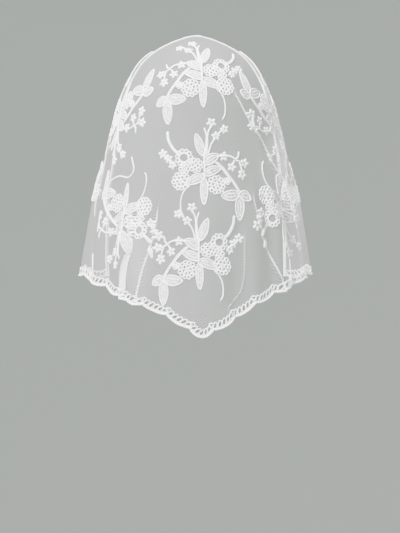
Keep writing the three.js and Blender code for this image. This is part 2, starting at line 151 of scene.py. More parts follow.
def through(rows, column, x):
    """A smooth curve through one column of a table, against its first column."""
    keys, values = rows[:, 0], rows[:, column]
    before = np.maximum(np.arange(len(keys)) - 1, 0)
    after = np.minimum(np.arange(len(keys)) + 1, len(keys) - 1)
    slopes = (values[after] - values[before]) / (keys[after] - keys[before])
    at = np.clip(x, keys[0], keys[-1])
    i = np.clip(np.searchsorted(keys, at) - 1, 0, len(keys) - 2)
    span = keys[i + 1] - keys[i]
    t = (at - keys[i]) / span
    flat = 1 - t
    ends = values[i] * flat * flat * (1 + 2 * t) + values[i + 1] * t * t * (3 - 2 * t)
    return ends + span * t * flat * (slopes[i] * flat - slopes[i + 1] * t)


def hem_run(angle):
    return DOME_RUN + through(HEM, 1, np.degrees(angle)) - DOME_RADIUS


print("hem runs from", round(float(hem_run(0.0))), "mm at the back to", round(float(hem_run(2.0))), "mm")

# %% The oval and the front edge
TINY = 1e-6


def tilt_at(run):
    """How far the dome has turned down from the crown, up to a quarter turn where the cloth hangs."""
    return np.minimum(run / DOME_RADIUS, np.pi / 2)


def oval_reach(angle, run):
    """How far the oval reaches from the middle of the form, without folds."""
    depth = np.where(np.cos(angle) > 0, through(SECTIONS, 2, run), through(SECTIONS, 3, run))
    return 1 / np.hypot(np.sin(angle) / through(SECTIONS, 1, run), np.cos(angle) / depth)


def cloth_radius(angle, run):
    """How far the cloth lies from the upright line through the crown."""
    return oval_reach(angle, run) * np.sin(tilt_at(run))


def front_angle(run):
    """Angle of the front edge: half a turn above the place where it crosses over the crown."""
    corner = np.radians(CORNER_ANGLE)
    reach = cloth_radius(corner, FRONT_REACH) + FRONT_DRIFT * (run - FRONT_REACH)
    share = np.clip(reach / np.maximum(cloth_radius(corner, run), TINY), -1, 1)
    return np.where(run > FRONT_REACH, np.pi - np.arccos(share), np.pi)


print("front edge at the hem:", round(float(np.degrees(front_angle(hem_run(2.0))))), "degrees from the back")

# %% [markdown]
# ## Folds and creases
# Limp net hangs in soft folds, and in a few places it laps over itself in a narrow crease, which shows as a
# dense white line. Sculpting could make both, but a table puts each where the photograph has it. A soft
# fold only moves the cloth in and out. A crease also draws it sideways over itself and raises a roll beside
# its line, and net that is drawn together there is marked as bunched.

# %% Soft folds
RIPPLE = 0.45
RIPPLE_START = 60
RIPPLE_GROWTH = 200
# slow waves of the net: height, how fast each turns with the angle and with the run, and where it starts
WAVES = [(1.0, 0.41, 0.02, 0.0), (0.7, 0.73, -0.035, 1.3)]
# two waves that are multiplied, so that the unevenness comes in patches
PATCH_HEIGHT = 0.6
PATCHES = [(0.11, 0.09, 0.0), (0.17, 0.0, 2.0)]


def fold_reach(angle, run):
    """How far the soft folds stand out of the oval: an even wave from each fold line to the next."""
    angle, run = np.broadcast_arrays(angle, run)
    place = angle / front_angle(run) * CORNER_ANGLE
    spread = ease((run - SPREAD_START) / (SPREAD_END - SPREAD_START))
    lines = FOLDS[:, 0] + (FOLDS[:, 1] - FOLDS[:, 0]) * spread[..., None]
    heights = FOLDS[:, 3] * ease((run[..., None] - FOLDS[:, 2]) / (SPREAD_END - FOLDS[:, 2]))
    i = np.clip((lines < place[..., None]).sum(-1) - 1, 0, len(FOLDS) - 2)[..., None]
    start, end = (np.take_along_axis(lines, i + k, -1)[..., 0] for k in (0, 1))
    low, high = (np.take_along_axis(heights, i + k, -1)[..., 0] for k in (0, 1))
    share = np.clip((place - start) / (end - start), 0, 1)
    return low + (high - low) * (1 - np.cos(np.pi * share)) / 2


def ripple(angle, run):
    """The small unevenness of limp net, which grows on the way down."""
    turn = np.degrees(angle)
    waves = sum(
        height * np.sin(by_turn * turn + by_run * run + start) for height, by_turn, by_run, start in WAVES)
    patches = PATCH_HEIGHT
    for by_turn, by_run, start in PATCHES:
        patches = patches * np.sin(by_turn * turn + by_run * run + start)
    return RIPPLE * ease((run - RIPPLE_START) / RIPPLE_GROWTH) * (waves + patches)


around = np.radians(np.arange(-100, 101))
print("soft folds stand out by up to", round(float(fold_reach(around, 300.0).max()), 1), "mm")

# %% Creases
ROLL_PLACE = 0.3
ROLL_HALF = 0.34
FADE_LENGTH = 30
CROWN_MARGIN = 1


def crease_angle(crease, run):
    way = np.array(crease["way"], float)
    return np.radians(through(way, 1, run))


def crease_strength(crease, run):
    grown = ease((run - crease["from"]) / (crease["full"] - crease["from"]))
    return grown * ease((crease["fade"] + FADE_LENGTH - run) / FADE_LENGTH)


def beside_crease(crease, angle, run):
    """How far a place lies beside a crease in mm, and the radius there, kept above nothing at the crown."""
    radius = cloth_radius(angle, run) + CROWN_MARGIN
    return (angle - crease_angle(crease, run)) * radius, radius


def drawn_over(angle, run):
    """The angle that the cloth is drawn to by its creases, and how far their rolls stand out."""
    drawn, rise = angle, 0.0
    for crease in CREASES:
        beside, radius = beside_crease(crease, angle, run)
        t = np.clip(beside / crease["half"], -1, 1)
        strength = crease_strength(crease, run)
        drawn = drawn - strength * crease["pull"] * np.sin(np.pi * t) * (1 - t * t) / radius
        rise = rise + strength * crease["roll"] * np.exp(-((t - ROLL_PLACE) / ROLL_HALF) ** 2)
    return drawn, rise


def bunched(angle, run):
    """How closely the net is bunched: 0 where one layer lies flat, towards 1 along the creases."""
    amount = np.zeros(np.shape(angle))
    for crease in CREASES:
        away = beside_crease(crease, angle, run)[0] / crease["core"]
        amount = amount + crease["bunch"] * crease_strength(crease, run) * np.exp(-away * away)
    for turn, down, wide, long, most in LAYERED:
        away = ((np.degrees(angle) - turn) / wide) ** 2 + ((run - down) / long) ** 2
        amount = amount + most * np.exp(-away)
    return np.minimum(amount, 1)


print("rolls stand out by up to", round(float(drawn_over(around, 300.0)[1].max()), 1), "mm")

# %% Places on the cloth
COARSE_STEP = 0.5
FINE_STEP = 0.3
CROWN_SHARE = 1.01


def placed(angle, run, reach):
    tilt = tilt_at(run)
    fall = np.maximum(run - DOME_RUN, 0)
    across = reach * np.sin(tilt)
    up = reach * np.cos(tilt) - DOME_RADIUS - fall
    return np.stack([across * np.sin(angle), -across * np.cos(angle), up], -1)


def underside(angle, run):
    """The cloth with its soft folds alone, on which lengths are measured."""
    reach = oval_reach(angle, run) + fold_reach(angle, run) + ripple(angle, run)
    return placed(angle, run, reach)


def creased(angle, run):
    """The cloth with its creases as well, on which everything is laid at last."""
    drawn, rise = drawn_over(angle, run)
    reach = oval_reach(drawn, run) + fold_reach(drawn, run) + ripple(drawn, run) + rise
    return placed(drawn, run, reach)


def unit(vectors):
    return vectors / np.maximum(np.linalg.norm(vectors, axis=-1, keepdims=True), TINY)


def outward(angle, run, surface=underside, step=COARSE_STEP):
    """The direction straight out of the cloth, from small steps across and down."""
    safe = np.maximum(run, step * CROWN_SHARE)
    turn = step / (DOME_RADIUS * np.sin(tilt_at(safe)))
    across = surface(angle + turn, safe) - surface(angle - turn, safe)
    down = surface(angle, safe + step) - surface(angle, safe - step)
    return unit(np.cross(down, across))


def on_cloth(angle, run, lift):
    """Places above the outside of the creased cloth, in mm."""
    facing = outward(angle, run, creased, FINE_STEP)
    return creased(angle, run) + facing * np.asarray(lift)[..., None]


def locate(points):
    """The angle and run of the cloth nearest to each point."""
    spread = np.hypot(points[..., 0], points[..., 1])
    above = points[..., 2] + DOME_RADIUS
    run = np.where(above > 0, DOME_RADIUS * np.arctan2(spread, above), DOME_RUN - above)
    return np.arctan2(points[..., 0], -points[..., 1]), run


print("tip of the hem:", np.round(on_cloth(0.0, hem_run(0.0), 0.0)).tolist(), "mm")

# %% [markdown]
# ## Helpers for meshes and materials
# Most of the lace is made of two forms: a cord that follows a path, and a raised pad with satin stitches.
# Both are first made flat, as a list of points with a height, and then laid on the cloth. One class keeps
# the growing lists, and functions make the object, turn sRGB hex colours linear and add a node.

# %% Needlework that grows piece by piece


class Work:
    """Flat needlework that grows piece by piece: points across, up and high in mm, and faces."""

    def __init__(self):
        self.points = []
        self.faces = []
        self.finishes = []
        self.painted_shades = []
        self.count = 0

    def grid(self, points, wrap_rows=False, wrap_columns=False, finish=0, painted_shade=0.0):
        """Adds a grid of points, rows by columns, with the material of its quads and the painted shade of its
        points.
        """
        rows, columns = points.shape[:2]
        self.painted_shades.append(np.broadcast_to(painted_shade, (rows, columns)).ravel())
        index = self.count + np.arange(rows * columns).reshape(rows, columns)
        if wrap_rows:
            index = np.vstack([index, index[:1]])
        if wrap_columns:
            index = np.hstack([index, index[:, :1]])
        quads = np.stack([index[:-1, :-1], index[:-1, 1:], index[1:, 1:], index[1:, :-1]], -1)
        self.faces.append(quads.reshape(-1, 4))
        self.finishes.append(np.full(len(self.faces[-1]), finish))
        self.points.append(points.reshape(-1, 3))
        self.count += rows * columns

    def arrays(self):
        return np.concatenate(self.points), np.concatenate(self.faces)


print("needlework ready")

# %% Objects from arrays


def make_object(name, points, faces, materials, finishes=None, uvs=None, marks=None):
    """A smooth mesh object from points in mm, with a material for each face and marks on its points."""
    mesh = bpy.data.meshes.new(name)
    mesh.vertices.add(len(points))
    mesh.vertices.foreach_set("co", (points * MM).astype(np.float32).ravel())
    corners = faces.ravel()
    mesh.loops.add(len(corners))
    mesh.loops.foreach_set("vertex_index", corners.astype(np.int32))
    mesh.polygons.add(len(faces))
    mesh.polygons.foreach_set("loop_start", np.arange(0, len(corners), faces.shape[1], dtype=np.int32))
    mesh.polygons.foreach_set("loop_total", np.full(len(faces), faces.shape[1], dtype=np.int32))
    mesh.polygons.foreach_set("use_smooth", np.ones(len(faces), dtype=bool))
    mesh.update(calc_edges=True)
    mesh.validate()
    for lie, uv in (uvs or {}).items():
        layer = mesh.uv_layers.new(name=lie)
        layer.data.foreach_set("uv", uv.reshape(-1, 2)[corners].astype(np.float32).ravel())
    for mark, values in (marks or {}).items():
        mesh.attributes.new(mark, "FLOAT", "POINT").data.foreach_set("value", values.astype(np.float32))
    for material in materials:
        mesh.materials.append(material)
    if finishes is not None:
        mesh.polygons.foreach_set("material_index", finishes.astype(np.int32))
    obj = bpy.data.objects.new(name, mesh)
    bpy.context.scene.collection.objects.link(obj)
    return obj


print("object maker ready")

# %% Colours, nodes and materials


def linear(code):
    """An sRGB hex colour as linear red, green, blue and one."""
    parts = [int(code[i:i + 2], 16) / 255 for i in (1, 3, 5)]
    return tuple(c / 12.92 if c <= 0.04045 else ((c + 0.055) / 1.055) ** 2.4 for c in parts) + (1.0,)


def add_node(material, kind, settings=None, values=None, links=None):
    """Adds a shader node with its settings, its socket values and what feeds its sockets."""
    tree = material.node_tree
    node = tree.nodes.new(kind)
    for key, value in (settings or {}).items():
        setattr(node, key, value)
    for key, value in (values or {}).items():
        node.inputs[key].default_value = value
    for key, socket in (links or {}).items():
        tree.links.new(socket, node.inputs[key])
    return node


def new_material(name):
    material = bpy.data.materials.new(name)
    material.use_nodes = True
    material.node_tree.nodes.clear()
    return material


def finish_material(material, values, links):
    shader = add_node(material, "ShaderNodeBsdfPrincipled", values=values, links=links)
    add_node(material, "ShaderNodeOutputMaterial", links={"Surface": shader.outputs["BSDF"]})
    return material


print("white is", linear("#FFFFFF"))

# %% [markdown]
# ## The tulle
# Tulle is a net of fine twisted threads with open cells about a millimetre wide. A mesh of real threads
# would need millions of triangles, so the cells are cut by the material's alpha instead, and the sheet
# carries the form. The cells are drawn at least twice as wide as real and their threads softer, so that
# they can still be told apart in a picture. Where the net is bunched, a mark on the sheet makes its threads
# wider and denser. On the crown the cells follow the cloth as it lies flat from above, and lower down as it
# hangs, and the two drawings fade into each other on the shoulder of the dome. The matt thread and its
# sheen give the eye a soft white haze, a little darker in some places than in others.

# %% Tulle material
# the width of a cell and of a cloudy patch, in mm
CELL = 2.2
CLOUD = 50
# half the width of a thread as a share of a cell, how much it covers, and what both gain where net is bunched
THREAD_HALF = 0.13
THREAD_COVER = 0.35
WIDENED = 0.8
DENSENED = 0.7
# how far the cells are stretched, their turn in degrees, and how uneven they are
SLOPE = 0.6
CELL_TURN = 45
UNEVENNESS = 0.1

tulle = new_material("sheer_white_tulle_net")
cell_edges = {}
for lie in ("cloth", "crown"):
    lie_uv = add_node(tulle, "ShaderNodeUVMap", {"uv_map": lie})
    turned = add_node(
        tulle, "ShaderNodeMapping",
        values={"Scale": (SLOPE, 1, 1), "Rotation": (0, 0, np.radians(CELL_TURN))},
        links={"Vector": lie_uv.outputs[0]},
    )
    cell_edges[lie] = add_node(
        tulle, "ShaderNodeTexVoronoi",
        {"voronoi_dimensions": "2D", "feature": "DISTANCE_TO_EDGE"},
        {"Scale": 1 / CELL, "Randomness": UNEVENNESS},
        {"Vector": turned.outputs[0]},
    )
bunch = add_node(tulle, "ShaderNodeAttribute", {"attribute_name": "bunch"})
width, cover = (
    add_node(
        tulle, "ShaderNodeMath", {"operation": "MULTIPLY_ADD", "use_clamp": True}, {1: gain, 2: least},
        {0: bunch.outputs["Fac"]},
    )
    for gain, least in ((WIDENED, THREAD_HALF), (DENSENED, THREAD_COVER))
)
drawn_threads = {
    lie: add_node(
        tulle, "ShaderNodeMapRange", values={"To Max": 0.0},
        links={"Value": edge.outputs["Distance"], "From Max": width.outputs[0], "To Min": cover.outputs[0]},
    )
    for lie, edge in cell_edges.items()
}
on_crown = add_node(tulle, "ShaderNodeAttribute", {"attribute_name": "on_crown"})
threads = add_node(
    tulle, "ShaderNodeMix", {"data_type": "FLOAT"},
    links={0: on_crown.outputs["Fac"], 2: drawn_threads["cloth"].outputs[0],
           3: drawn_threads["crown"].outputs[0]},
)
cloudy = add_node(
    tulle, "ShaderNodeTexNoise", values={"Scale": 1 / (CLOUD * MM), "Detail": 3.0},
    links={"Vector": add_node(tulle, "ShaderNodeTexCoord").outputs["Object"]},
)
shade = add_node(
    tulle, "ShaderNodeMix", {"data_type": "RGBA"},
    {6: linear("#F4F1F3"), 7: linear("#E9E3E8")}, {0: cloudy.outputs[0]},
)
finish_material(
    tulle,
    {"Roughness": 0.75, "Sheen Weight": 0.5, "Sheen Roughness": 0.5, "Specular IOR Level": 0.3},
    {"Base Color": shade.outputs[2], "Alpha": threads.outputs[0]},
)
print("tulle cells of", CELL, "mm")

# %% [markdown]
# ## Threads and cords
# The embroidery is satin stitch and cord in soft cotton thread. Its colour is almost even, and the eye
# reads it by its stitches. A wave gives bands of stitches and a noise gives uneven grains, both in the
# colour and as a bump; on the satin their grey is painted shade between the stitches. A real stitch is
# about 0.4 mm wide and would not show, so the bands are drawn about ten times as coarse and the grains
# about four times. The narrow gaps between stitches hold shade, so points there carry a mark of painted
# shade and are drawn greyer.

# %% Thread materials
# the width in metres of a diagonal band of Blender's wave texture at a scale of 1
WIDEST_BAND = 2 * np.pi / (10 * np.sqrt(3))
GRAIN_LOW, GRAIN_HIGH = 0.38, 0.58
GRAIN_SHARE = 0.65
BUMP_HEIGHT = 0.25


def thread_material(name, pale, deep, band, grain, strength, roughness):
    """White thread with bands and grains of the given widths in mm, in the object's own space."""
    material = new_material(name)
    place = add_node(material, "ShaderNodeTexCoord")
    waves = add_node(
        material, "ShaderNodeTexWave", {"wave_type": "BANDS", "bands_direction": "DIAGONAL"},
        {"Scale": WIDEST_BAND / (band * MM), "Distortion": 3.0, "Detail": 2.0, "Detail Scale": 2.0},
        {"Vector": place.outputs["Object"]},
    )
    fibres = add_node(
        material, "ShaderNodeTexNoise", values={"Scale": 1 / (grain * MM), "Detail": 2.0},
        links={"Vector": place.outputs["Object"]},
    )
    grains = add_node(
        material, "ShaderNodeMapRange", values={"From Min": GRAIN_LOW, "From Max": GRAIN_HIGH},
        links={"Value": fibres.outputs[0]},
    )
    blend = add_node(
        material, "ShaderNodeMix", {"data_type": "FLOAT"}, {0: GRAIN_SHARE},
        {2: waves.outputs["Fac"], 3: grains.outputs[0]},
    )
    colour = add_node(
        material, "ShaderNodeMix", {"data_type": "RGBA"},
        {6: linear(deep), 7: linear(pale)}, {0: blend.outputs[0]},
    )
    # painted shade: points marked in slits, grooves, dimples, eyes and between stitches and petals are mixed
    # towards grey
    painted_shade = add_node(material, "ShaderNodeAttribute", {"attribute_name": "painted_shade"})
    with_painted_shade = add_node(
        material, "ShaderNodeMix", {"data_type": "RGBA"},
        {7: linear("#8C8690")}, {0: painted_shade.outputs["Fac"], 6: colour.outputs[2]},
    )
    bump = add_node(
        material, "ShaderNodeBump", values={"Strength": strength, "Distance": BUMP_HEIGHT * MM},
        links={"Height": blend.outputs[0]},
    )
    return finish_material(
        material,
        {"Roughness": roughness, "Sheen Weight": 0.3, "Sheen Roughness": 0.5, "Specular IOR Level": 0.35},
        {"Base Color": with_painted_shade.outputs[2], "Normal": bump.outputs[0]},
    )


# satin stitch has a silky look with its bands and grains, whose grey specks are painted shade between the
# stitches, so that its corded edges stand out
satin_thread = thread_material(
    "white_satin_stitch_thread", "#F6F3F7", "#8B8591", band=4.35, grain=1.9, strength=0.9, roughness=0.55)
# the cord is the whitest thread, matt and a little uneven
lace_cord = thread_material(
    "white_cotton_lace_cord", "#FFFEFE", "#D9D5DB", band=3.63, grain=1.6, strength=0.6, roughness=0.65)
# the tape is woven close, so it looks even and flat
edge_tape = thread_material(
    "white_woven_edge_tape", "#FEFDFD", "#EFECEE", band=5.08, grain=0.7, strength=0.4, roughness=0.7)
print("thread materials ready")

# %% [markdown]
# ## The net sheet
# The sheet is one open grid from the crown down to the hem. Its columns spread from the crown like those of
# a shell, and lie closer where a fold needs them. It could be thickened, but tulle is thinner than any wall
# that could be seen here, so a single layer is the true form.

# %% Points of the net sheet
NET_LIFT = 0.5
NET_LAP = 3.6
NET_COLUMNS = 470
NET_ROWS = 190
# how the columns gather at the creases: points to measure along a row, their pull, and where it begins
FINE_COLUMNS = 1801
CREASE_WEIGHT = 4
GATHER_START, GATHER_GROWTH = 90, 60
# how the rows are found: a first guess, rounds to better it, and the even rows that are kept near the crown
FIRST_RUN = 100.0
ROUNDS = 6
CROWN_ROWS, CROWN_RUN = 60, 355
# the runs over which the cells change from their lie on the crown to their lie on the hanging cloth
LIE_START, LIE_LENGTH = 55, 45


def net_grid():
    """Angles and runs of the sheet's points, rows by columns, closer together where a crease is."""
    down = np.linspace(0, 1, NET_ROWS + 1)[1:, None]
    fine = np.linspace(-1, 1, FINE_COLUMNS)
    run = np.full((NET_ROWS, FINE_COLUMNS), FIRST_RUN)
    for _ in range(ROUNDS):
        angle = fine * front_angle(run)
        run = down * (hem_run(angle) - NET_LAP)
        near = ease(run / CROWN_ROWS)
        run = run * near + down * CROWN_RUN * (1 - near)
    weight = np.ones(run.shape)
    for crease in CREASES:
        away = (angle - crease_angle(crease, run)) * oval_reach(angle, run) / crease["half"]
        gathered = ease((run - GATHER_START) / GATHER_GROWTH)
        weight = weight + CREASE_WEIGHT * np.exp(-away * away) * gathered
    total = np.cumsum(weight, 1) - weight / 2
    total = (total - total[:, :1]) / (total[:, -1:] - total[:, :1])
    share = np.linspace(0, 1, NET_COLUMNS + 1)
    angles = np.stack([np.interp(share, t, a) for t, a in zip(total, angle)])
    runs = np.stack([np.interp(share, t, r) for t, r in zip(total, run)])
    return angles, runs


net_angle, net_run = net_grid()
net_points = on_cloth(net_angle, net_run, np.full(net_run.shape, NET_LIFT))
net_radius = cloth_radius(np.pi / 4, net_run)
hanging = np.stack([net_angle * net_radius, net_run], -1)
from_above = np.stack([np.sin(net_angle), np.cos(net_angle)], -1) * net_run[..., None]
on_crown = 1 - ease((net_run - LIE_START) / LIE_LENGTH)
print("net points:", net_angle.size)

# %% Net sheet
net = Work()
net.grid(net_points)
points, faces = net.arrays()
net_object = make_object(
    "tulle_net", points, faces, [tulle], uvs={"cloth": hanging, "crown": from_above},
    marks={"bunch": bunched(net_angle, net_run).ravel(), "on_crown": on_crown.ravel()},
)
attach(net_object, "root")
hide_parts("net_panel")

# %% [markdown]
# ## Stitches on flat cloth
# Each kind of stitch is a small function: a cord is a round tube with the twist of its two plies, a leaf is
# a low dome with a slit along its middle, a blossom is five small petals round an eye, and a wheel is a
# ring of small loops, as machine lace makes it.

# %% Cords
PATH_STEP = 0.9
# two plies twisted together: the length and the depth of their waves
PLY_PITCH = 1.7
PLY_DEPTH = 0.1
FLATNESS = 0.85
# thin ends: their length and how thin they get
TAPER_LENGTH = 2
TAPER_END = 0.4


def smooth_path(points):
    """A smooth curve through a few points, as many short steps."""
    given = np.array(points, dtype=float)
    padded = np.vstack([2 * given[0] - given[1], given, 2 * given[-1] - given[-2]])
    made = []
    for a, b, c, d in zip(padded, padded[1:], padded[2:], padded[3:]):
        count = max(int(np.linalg.norm(c - b) / PATH_STEP), 2)
        t = np.arange(count)[:, None] / count
        made.append(0.5 * (2 * b + (c - a) * t + (2 * a - 5 * b + 4 * c - d) * t ** 2
                           + (3 * b - a - 3 * c + d) * t ** 3))
    made.append(given[-1:])
    return np.vstack(made)


def cord(work, path, radius, rise=0.0, closed=False, sides=6, taper=False):
    """A round cord along a path that lies flat, its underside touching the cloth."""
    if closed:
        along = np.roll(path, -1, 0) - np.roll(path, 1, 0)
    else:
        along = np.gradient(path, axis=0)
    along = unit(along)
    beside = np.stack([-along[:, 1], along[:, 0]], -1)
    turn = np.arange(sides) / sides * 2 * np.pi
    length = np.concatenate([[0], np.cumsum(np.linalg.norm(np.diff(path, axis=0), axis=1))])
    size = radius * (1 + PLY_DEPTH * np.sin(2 * np.pi * length / PLY_PITCH))
    if taper:
        from_end = np.minimum(length, length[-1] - length)
        size = size * np.clip(from_end / TAPER_LENGTH + TAPER_END, TAPER_END, 1)
    flat = path[:, None] + beside[:, None] * (np.cos(turn) * size[:, None])[..., None]
    height = rise + size[:, None] * (FLATNESS + FLATNESS * np.sin(turn))
    points = np.concatenate([flat, height[..., None]], -1)
    work.grid(points, wrap_rows=closed, wrap_columns=True, finish=1)


def ring_path(x, y, radius, count):
    angle = np.arange(count) / count * 2 * np.pi
    return np.stack([x + radius * np.cos(angle), y + radius * np.sin(angle)], -1)


print("a short cord has", len(smooth_path([(0, 0), (5, 1), (10, 0)])), "steps")

# %% Leaves
LEAF_ROWS, LEAF_COLUMNS = 31, 17
LEAF_HEIGHT = 1.15
LEAF_CORD = 0.68
# the outline is widest a little towards the base, and blunt at its ends
LEAF_SKEW, LEAF_BLUNTNESS = 0.85, 0.62
LEAF_END, LEAF_CROWN = 0.35, 0.4
PAD_WIDTH = 0.94
# how near the inner ring comes to the leaf's ends, and how far from them the slit begins
RING_STRETCH, SLIT_GROWTH = 1.5, 1.6
# the inner ring: its place from the middle, its half-width, its depth and its shade
GROOVE_PLACE, GROOVE_HALF, GROOVE_DEPTH, GROOVE_SHADE = 0.66, 0.1, 0.3, 0.8
# the slit along the middle: its half-width, depth and shade
SLIT_HALF, SLIT_DEPTH, SLIT_SHADE = 0.12, 0.75, 1.1
# the stitches: their width in mm, their slant, depth and shade
STITCH_WIDTH, STITCH_SLANT, STITCH_DEPTH, STITCH_SHADE = 1.6, 0.35, 0.1, 0.22
# painted shade along the edge of the pad, under its cord: where it starts and its strength
EDGE_START, EDGE_SHADE = 0.85, 0.9


def leaf(work, base, tip, width, bend):
    """A satin-stitched leaf: a low dome, a slit along its middle, an inner ring and a corded edge."""
    base, tip = np.array(base, float), np.array(tip, float)
    length = np.linalg.norm(tip - base)
    forward = (tip - base) / length
    beside = np.array([-forward[1], forward[0]])
    share = np.linspace(0, 1, LEAF_ROWS)
    swell = np.sin(np.pi * share)
    half = width / 2 * np.sin(np.pi * share ** LEAF_SKEW) ** LEAF_BLUNTNESS
    middle = base + forward * (share * length)[:, None] + beside * (bend * swell)[:, None]
    side = np.linspace(-1, 1, LEAF_COLUMNS)
    flat = middle[:, None] + beside * (half[:, None] * side * PAD_WIDTH)[..., None]
    down, swell = share[:, None], swell[:, None]
    dome = np.sqrt(np.clip(1 - side ** 2, 0, 1)) * (LEAF_END + (1 - LEAF_END) * swell ** LEAF_CROWN)
    within = np.maximum(np.abs(side), np.abs(2 * down - 1) ** RING_STRETCH)
    groove = np.exp(-((within - GROOVE_PLACE) / GROOVE_HALF) ** 2)
    slit = np.exp(-(side / SLIT_HALF) ** 2) * np.clip(swell * SLIT_GROWTH - (SLIT_GROWTH - 1), 0, 1)
    stitch = np.sin(2 * np.pi * (down * length + np.abs(side) * width * STITCH_SLANT) / STITCH_WIDTH)
    height = LEAF_HEIGHT * (dome - SLIT_DEPTH * slit - GROOVE_DEPTH * groove + STITCH_DEPTH * stitch)
    # painted shade in the slit, the inner ring, between the stitches and under the edge cord
    shade = np.clip(SLIT_SHADE * slit + GROOVE_SHADE * groove - STITCH_SHADE * stitch, 0, 1)
    shade = np.maximum(shade, EDGE_SHADE * (np.abs(side) > EDGE_START))
    work.grid(np.concatenate([flat, height[..., None]], -1), painted_shade=shade)
    left = middle + beside * half[:, None]
    right = middle - beside * half[:, None]
    cord(work, np.vstack([left, right[-2:0:-1]]), LEAF_CORD, closed=True)


print("a leaf pad has", LEAF_ROWS * LEAF_COLUMNS, "points")

# %% Star blossoms
PETALS = 5
STAR_POINTS = 60
STAR_HEIGHT = 1.35
STAR_TURN = 0.4
# from the eye to the tip of a petal: share of the way, then height
PETAL = np.array([(0.17, 0.2), (0.3, 0.8), (0.45, 0.95), (0.62, 1.0), (0.8, 0.8), (0.93, 0.45), (1.0, 0.02)])
# how far the star reaches between its petals, and how low it lies there
NOTCH_REACH, NOTCH_HEIGHT = 0.5, 0.35
# how pointed the petals are in their outline and in their height
OUTLINE_POWER, RIDGE_POWER = 1.15, 0.7
# the dimple in each petal: its place, half-width, depth and narrowness
DIMPLE_PLACE, DIMPLE_HALF, DIMPLE_DEPTH, DIMPLE_POWER = 0.62, 0.14, 0.35, 6
# its shade: place, half-width, strength and narrowness
SHADE_PLACE, SHADE_HALF, DIMPLE_SHADE, SHADE_POWER = 0.6, 0.12, 0.8, 8
# how far the eye reaches, its shade, and the shade between the petals with its narrowness
EYE, EYE_SHADE = 0.25, 0.7
NOTCH_SHADE, NOTCH_POWER = 0.5, 3


def blossom(work, x, y, radius):
    """A star blossom: separate pointed petals round a small open eye, turned by where it stands."""
    angle = np.arange(STAR_POINTS) / STAR_POINTS * 2 * np.pi
    wave = np.abs(np.cos(PETALS * (angle - STAR_TURN * x) / 2))
    reach = radius * (NOTCH_REACH + (1 - NOTCH_REACH) * wave ** OUTLINE_POWER)
    share, rise = PETAL[:, :1], PETAL[:, 1:]
    ridge = NOTCH_HEIGHT + (1 - NOTCH_HEIGHT) * wave ** RIDGE_POWER
    dimple = np.exp(-((share - DIMPLE_PLACE) / DIMPLE_HALF) ** 2) * wave ** DIMPLE_POWER
    height = STAR_HEIGHT * rise * ridge * (1 - DIMPLE_DEPTH * dimple)
    flat = np.stack([x + share * reach * np.cos(angle), y + share * reach * np.sin(angle)], -1)
    # painted shade in the dimples, round the open eye and between the petals
    dark_dimple = DIMPLE_SHADE * np.exp(-((share - SHADE_PLACE) / SHADE_HALF) ** 2) * wave ** SHADE_POWER
    dark_notch = NOTCH_SHADE * (1 - wave) ** NOTCH_POWER
    shade = np.clip(dark_dimple + EYE_SHADE * (share < EYE) + dark_notch, 0, 1)
    points = np.concatenate([flat, height[..., None]], -1)
    work.grid(points, wrap_columns=True, finish=1, painted_shade=shade)


print("a blossom has", STAR_POINTS * len(PETAL), "points")

# %% Wheel flowers
# rings of loops: the ring's radius as a share of the wheel's, loops for each mm of it, fewest loops, cord
WHEEL_RINGS = [(0.78, 1.14, 5, 0.72), (0.4, 0.58, 4, 0.64)]
SMALL_WHEEL = 6
LOOP_TOUCH = 0.95
LOOP_POINTS = 11
LOOP_RISE = 0.25
WHEEL_TURN = 0.1
WOBBLE, WOBBLE_TURN = 0.04, 3.1
# the loop in the middle, open or closed: its radius as a share of the wheel's, and its points
OPEN_MIDDLE, CLOSED_MIDDLE = (0.5, 20), (0.13, 9)
MIDDLE_CORD, MIDDLE_RISE = 0.6, 0.3


def wheel(work, x, y, radius, open_middle):
    """A wheel flower: a ring of small cord loops, each with its own hole, an inner ring and a middle loop."""
    one_ring = open_middle or radius <= SMALL_WHEEL
    for ring, (far_share, density, fewest, thick) in enumerate(WHEEL_RINGS[:1] if one_ring else WHEEL_RINGS):
        far = radius * far_share
        loops = max(round(radius * density), fewest)
        size = far * np.sin(np.pi / loops) * LOOP_TOUCH
        for k in range(loops):
            angle = WHEEL_TURN * x + (k + 0.5 * ring) / loops * 2 * np.pi
            out = far * (1 + WOBBLE * np.sin(WOBBLE_TURN * k + x))
            loop = ring_path(x + out * np.cos(angle), y + out * np.sin(angle), size, LOOP_POINTS)
            cord(work, loop, thick, rise=LOOP_RISE * (k % 2), closed=True, sides=5)
    share, count = OPEN_MIDDLE if open_middle else CLOSED_MIDDLE
    middle = ring_path(x, y, radius * share, count)
    cord(work, middle, MIDDLE_CORD, rise=MIDDLE_RISE, closed=True, sides=5)


print("a wheel has up to", len(WHEEL_RINGS), "rings of loops")

# %% [markdown]
# ## One spray
# The whole veil repeats one flower spray, turned and mirrored. It has a main stem with five leaves, a
# cluster of wheel flowers, thin branches with star blossoms, and a long stem to a sprig of three leaves. It
# is drawn flat in millimetres from its middle, with its leaves and flowers in the places of its CAD relief.

# %% Tables of the spray, in millimetres
# branch, base, tip, width and bend
LEAVES = [
    ("core", (-1, 13), (-9, 37), 8.5, 0), ("core", (0, 4), (16, 14), 10, 1),
    ("core", (0, -8), (18.5, 0), 9, 1),
    ("core", (1, -9), (-19, -18), 10, -1), ("core", (0, -11), (-0.5, -41), 7.6, 0),
    ("trio", (40, -28), (19, -31), 11, 0.8), ("trio", (40.5, -27), (54, -33), 10.5, 0.8),
    ("trio", (41, -30), (41, -57), 10.5, 0),
]
# branch, place across and up, radius, and whether the middle is open
WHEELS = [
    ("core", -22, 11, 9.6, True), ("core", -9.5, 2.5, 7.6, False), ("core", -25.5, -14.5, 10.4, False),
    ("core", 13.5, -19, 10.4, False), ("core", -21.5, -1.5, 5.2, False), ("core", 25.5, -14.5, 3.2, True),
]
